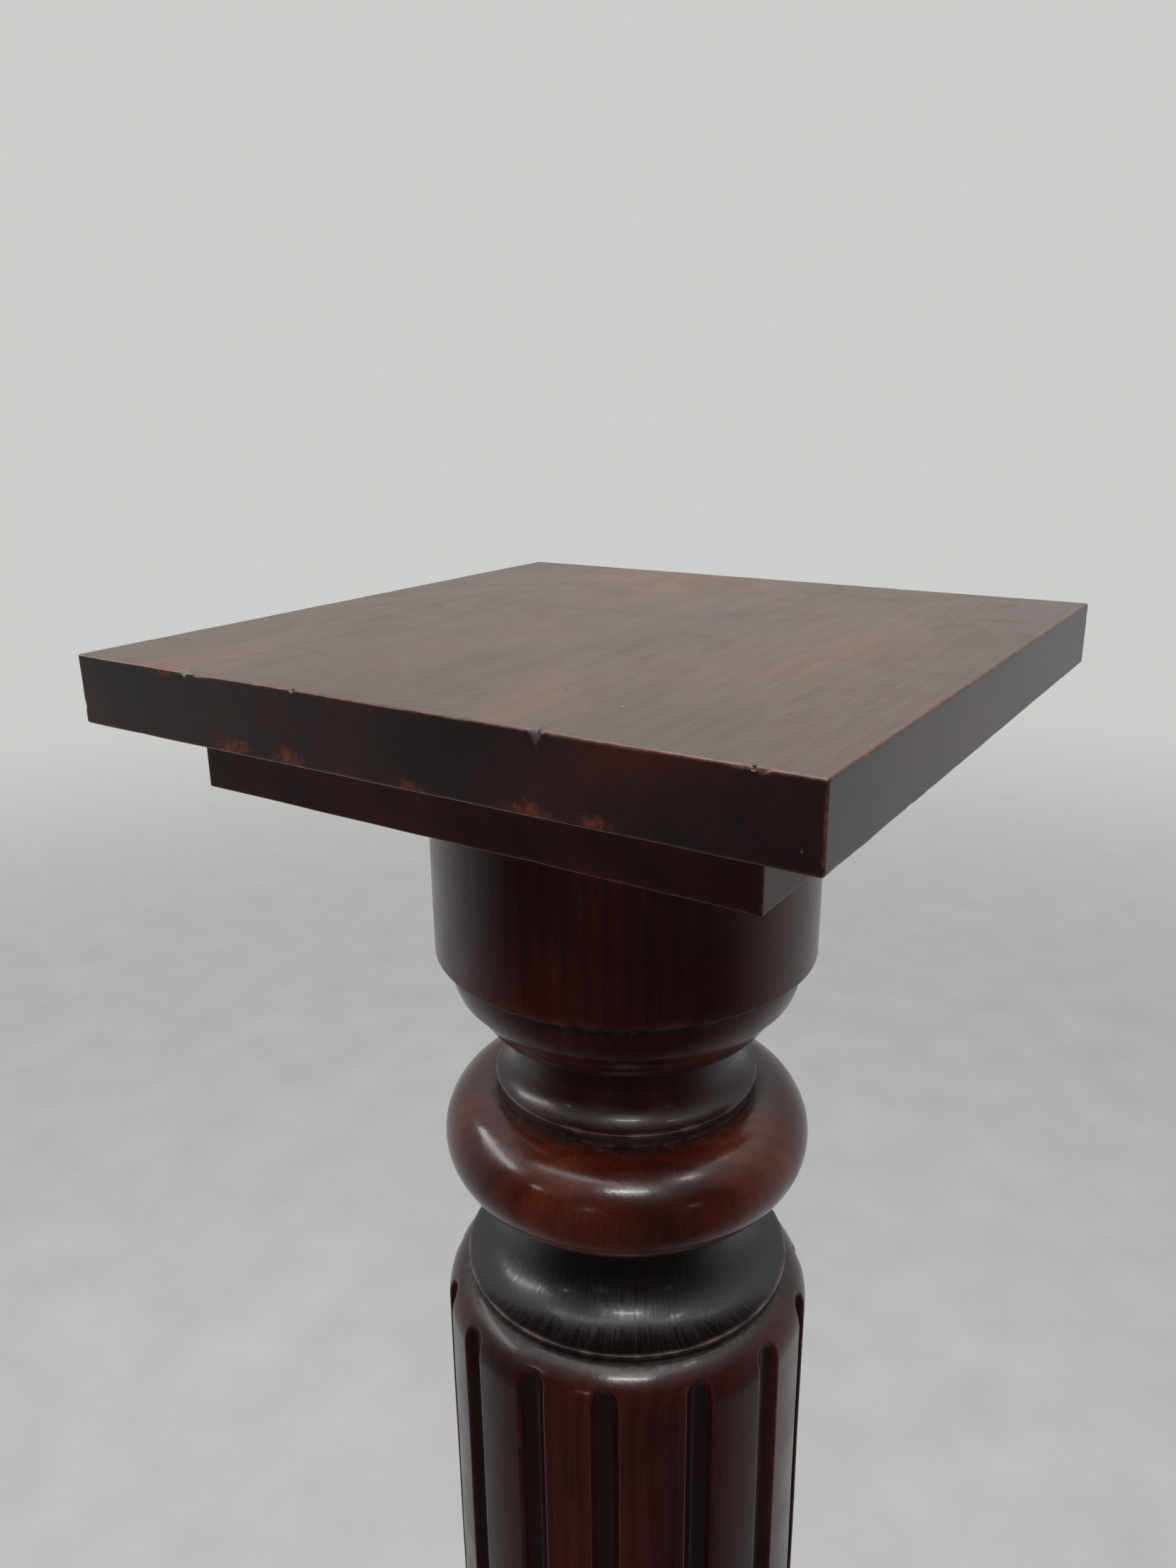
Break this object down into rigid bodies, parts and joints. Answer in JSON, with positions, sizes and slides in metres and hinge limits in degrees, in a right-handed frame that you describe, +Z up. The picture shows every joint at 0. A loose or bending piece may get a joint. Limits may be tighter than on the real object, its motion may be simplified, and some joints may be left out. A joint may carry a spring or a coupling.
{
  "type": "display plinth",
  "caption": "Square-topped display plinth on a turned, fluted round column with a ringed capital and a stepped square base.",
  "frame": {"origin": "on the floor, at the centre of the base, on the column's axis", "axes": "+Z up along the column, -Y towards the display board's front end grain, +X to the right"},
  "size_m": [0.33, 0.33, 1.2],
  "materials": {
    "mahogany_board": "worn satin french polish, grey bloom, grain front to back",
    "mahogany_turned": "glossy red-brown polish over turned mahogany",
    "mahogany_cove": "dark satin polish, fine turning marks",
    "steel": "plain bright zinc",
    "screw_steel": "dulled steel",
    "felt": "dark green felt"
  },
  "bodies": {
    "root": {"display_board": "mahogany_board", "bearer": "mahogany_board", "display_board_screws": "screw_steel", "bearer_screws": "screw_steel", "capital_drum": "mahogany_turned", "neck_collar": "mahogany_turned", "capital_torus": "mahogany_turned", "capital_cove": "mahogany_cove", "fluted_shaft": "mahogany_turned", "base_cove": "mahogany_cove", "base_torus": "mahogany_turned", "base_step": "mahogany_board", "base_foot": "mahogany_board", "base_foot_screws": "screw_steel", "tie_rod": "steel", "tie_rod_washers": "steel", "tie_rod_nuts": "steel", "floor_pads": "felt"}
  },
  "joints": []
}
